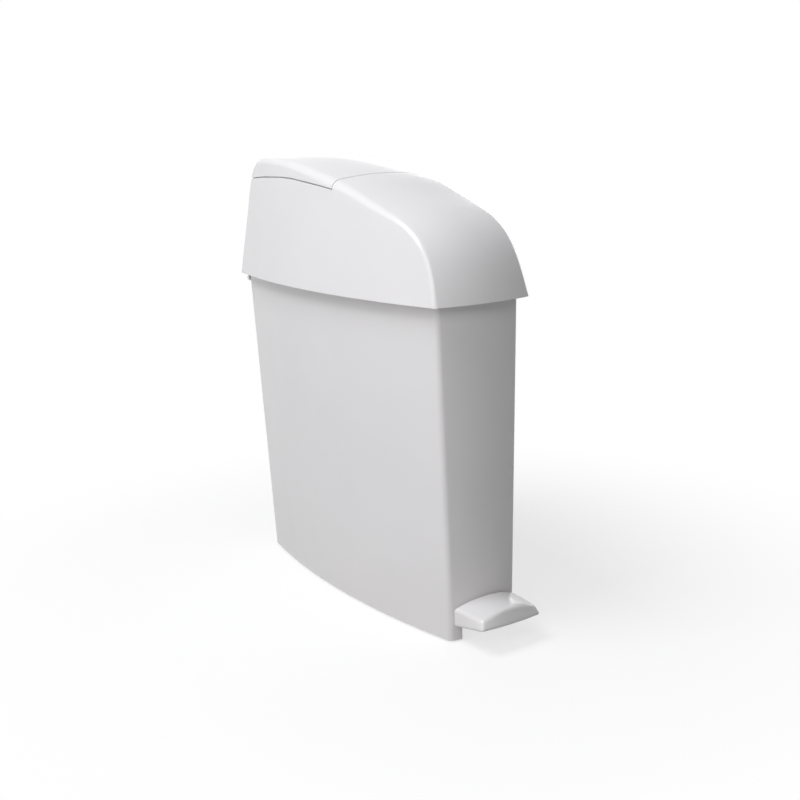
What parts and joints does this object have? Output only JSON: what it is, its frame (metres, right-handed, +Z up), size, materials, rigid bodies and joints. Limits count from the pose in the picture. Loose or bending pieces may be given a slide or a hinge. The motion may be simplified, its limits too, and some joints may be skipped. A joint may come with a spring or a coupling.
{
  "type": "pedal bin",
  "caption": "Slim tapered white bin with a domed hood. A low front pedal lifts the flap at the back of the hood, and the hood tips back on rear hinges for emptying.",
  "frame": {"origin": "on the floor, under the middle of the overall width and depth", "axes": "+X across the bin to the right of someone who faces its back, +Y from the pedal to the rear hinges, +Z up"},
  "size_m": [0.1748, 0.5259, 0.5508],
  "materials": {
    "white_shell": "glossy white moulded plastic",
    "white_inner": "satin white moulded plastic",
    "zinc_steel": "bright zinc-plated steel",
    "grey_plastic": "dark grey moulded plastic",
    "black_rubber": "matt black rubber"
  },
  "bodies": {
    "body": {"body_shell": "white_shell", "foot_front_left": "black_rubber", "foot_front_right": "black_rubber", "foot_rear_left": "black_rubber", "foot_rear_right": "black_rubber", "pivot_bracket": "zinc_steel", "bracket_screw_left": "zinc_steel", "bracket_screw_right": "zinc_steel", "lever_pivot_pin": "zinc_steel", "pivot_pin_clip": "zinc_steel", "rod_guide_channel": "white_inner", "rod_bush_lower": "grey_plastic", "rod_bush_upper": "grey_plastic", "bag_ring": "grey_plastic", "hood_hinge_block_left": "white_shell", "hood_hinge_block_right": "white_shell", "hood_hinge_pin_left": "zinc_steel", "hood_hinge_pin_right": "zinc_steel", "hinge_screw_left": "zinc_steel", "hinge_screw_right": "zinc_steel"},
    "pedal": {"pedal_tread": "white_shell", "pedal_lever": "zinc_steel", "pedal_screw_front": "zinc_steel", "pedal_screw_rear": "zinc_steel"},
    "rod": {"push_rod": "zinc_steel", "rod_foot_cap": "grey_plastic", "rod_top_cap": "grey_plastic"},
    "hood": {"hood_shell": "white_shell", "hood_frame": "white_inner", "flap_seat": "white_inner", "flap_hinge_pin": "zinc_steel"},
    "flap": {"flap_lid": "white_shell", "flap_crank": "grey_plastic", "crank_screw_front": "zinc_steel", "crank_screw_rear": "zinc_steel"}
  },
  "joints": [
    {"name": "pedal_pivot", "type": "hinge", "parent": "body", "child": "pedal", "pos_m": [0, -0.04125, 0.024], "axis": [1, 0, 0], "range_deg": [0, 5]},
    {"name": "rod_slide", "type": "slide", "parent": "body", "child": "rod", "axis": [0, 0, 1], "range_m": [0, 0.02321]},
    {"name": "hood_hinge", "type": "hinge", "parent": "body", "child": "hood", "pos_m": [0, 0.25875, 0.381], "axis": [-1, 0, 0], "range_deg": [0, 95]},
    {"name": "flap_hinge", "type": "hinge", "parent": "hood", "child": "flap", "pos_m": [0, 0.24975, 0.5185], "axis": [-1, 0, 0], "range_deg": [0, 50]}
  ],
  "couplings": [
    {"joint": "rod_slide", "follows": "pedal_pivot", "m_per_rad": 0.2659},
    {"joint": "flap_hinge", "follows": "pedal_pivot", "ratio": 10}
  ]
}
